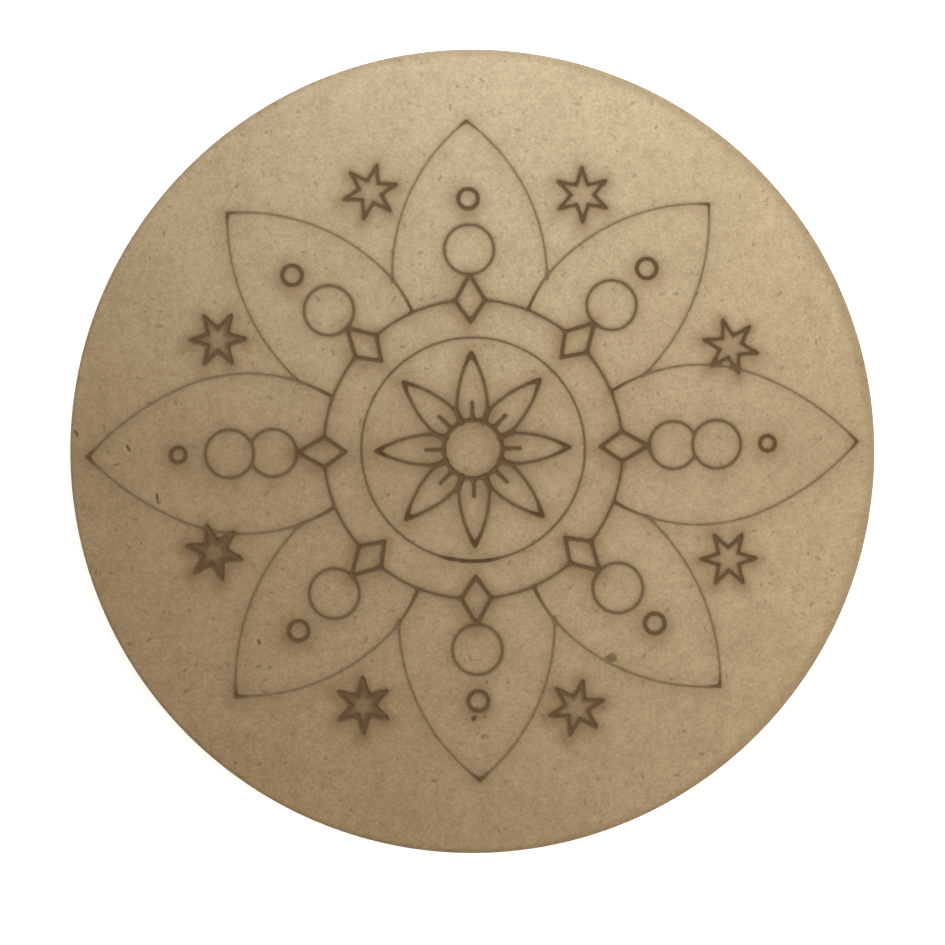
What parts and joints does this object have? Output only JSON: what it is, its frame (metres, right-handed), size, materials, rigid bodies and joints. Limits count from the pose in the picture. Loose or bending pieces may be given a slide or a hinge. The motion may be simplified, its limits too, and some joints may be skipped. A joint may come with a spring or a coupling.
{
  "type": "engraved wood-fibre disc",
  "caption": "Flat round fibreboard disc with a laser-scored flower mandala of petals, circles, diamonds and stars in one face; a craft or carving blank.",
  "frame": {"origin": "centre of the flat back face, which is the middle of the base", "axes": "+Z out of the scored face; +X and -X along the two longest petals of the ornament; +Y along a short petal"},
  "size_m": [0.2, 0.2, 0.003],
  "materials": {
    "fibreboard": "raw sanded medium-density fibreboard, pale brown with dark fibre specks, charred in the scored lines and browned by smoke at the rim"
  },
  "bodies": {
    "root": {"engraved_disc": "fibreboard"}
  },
  "joints": []
}
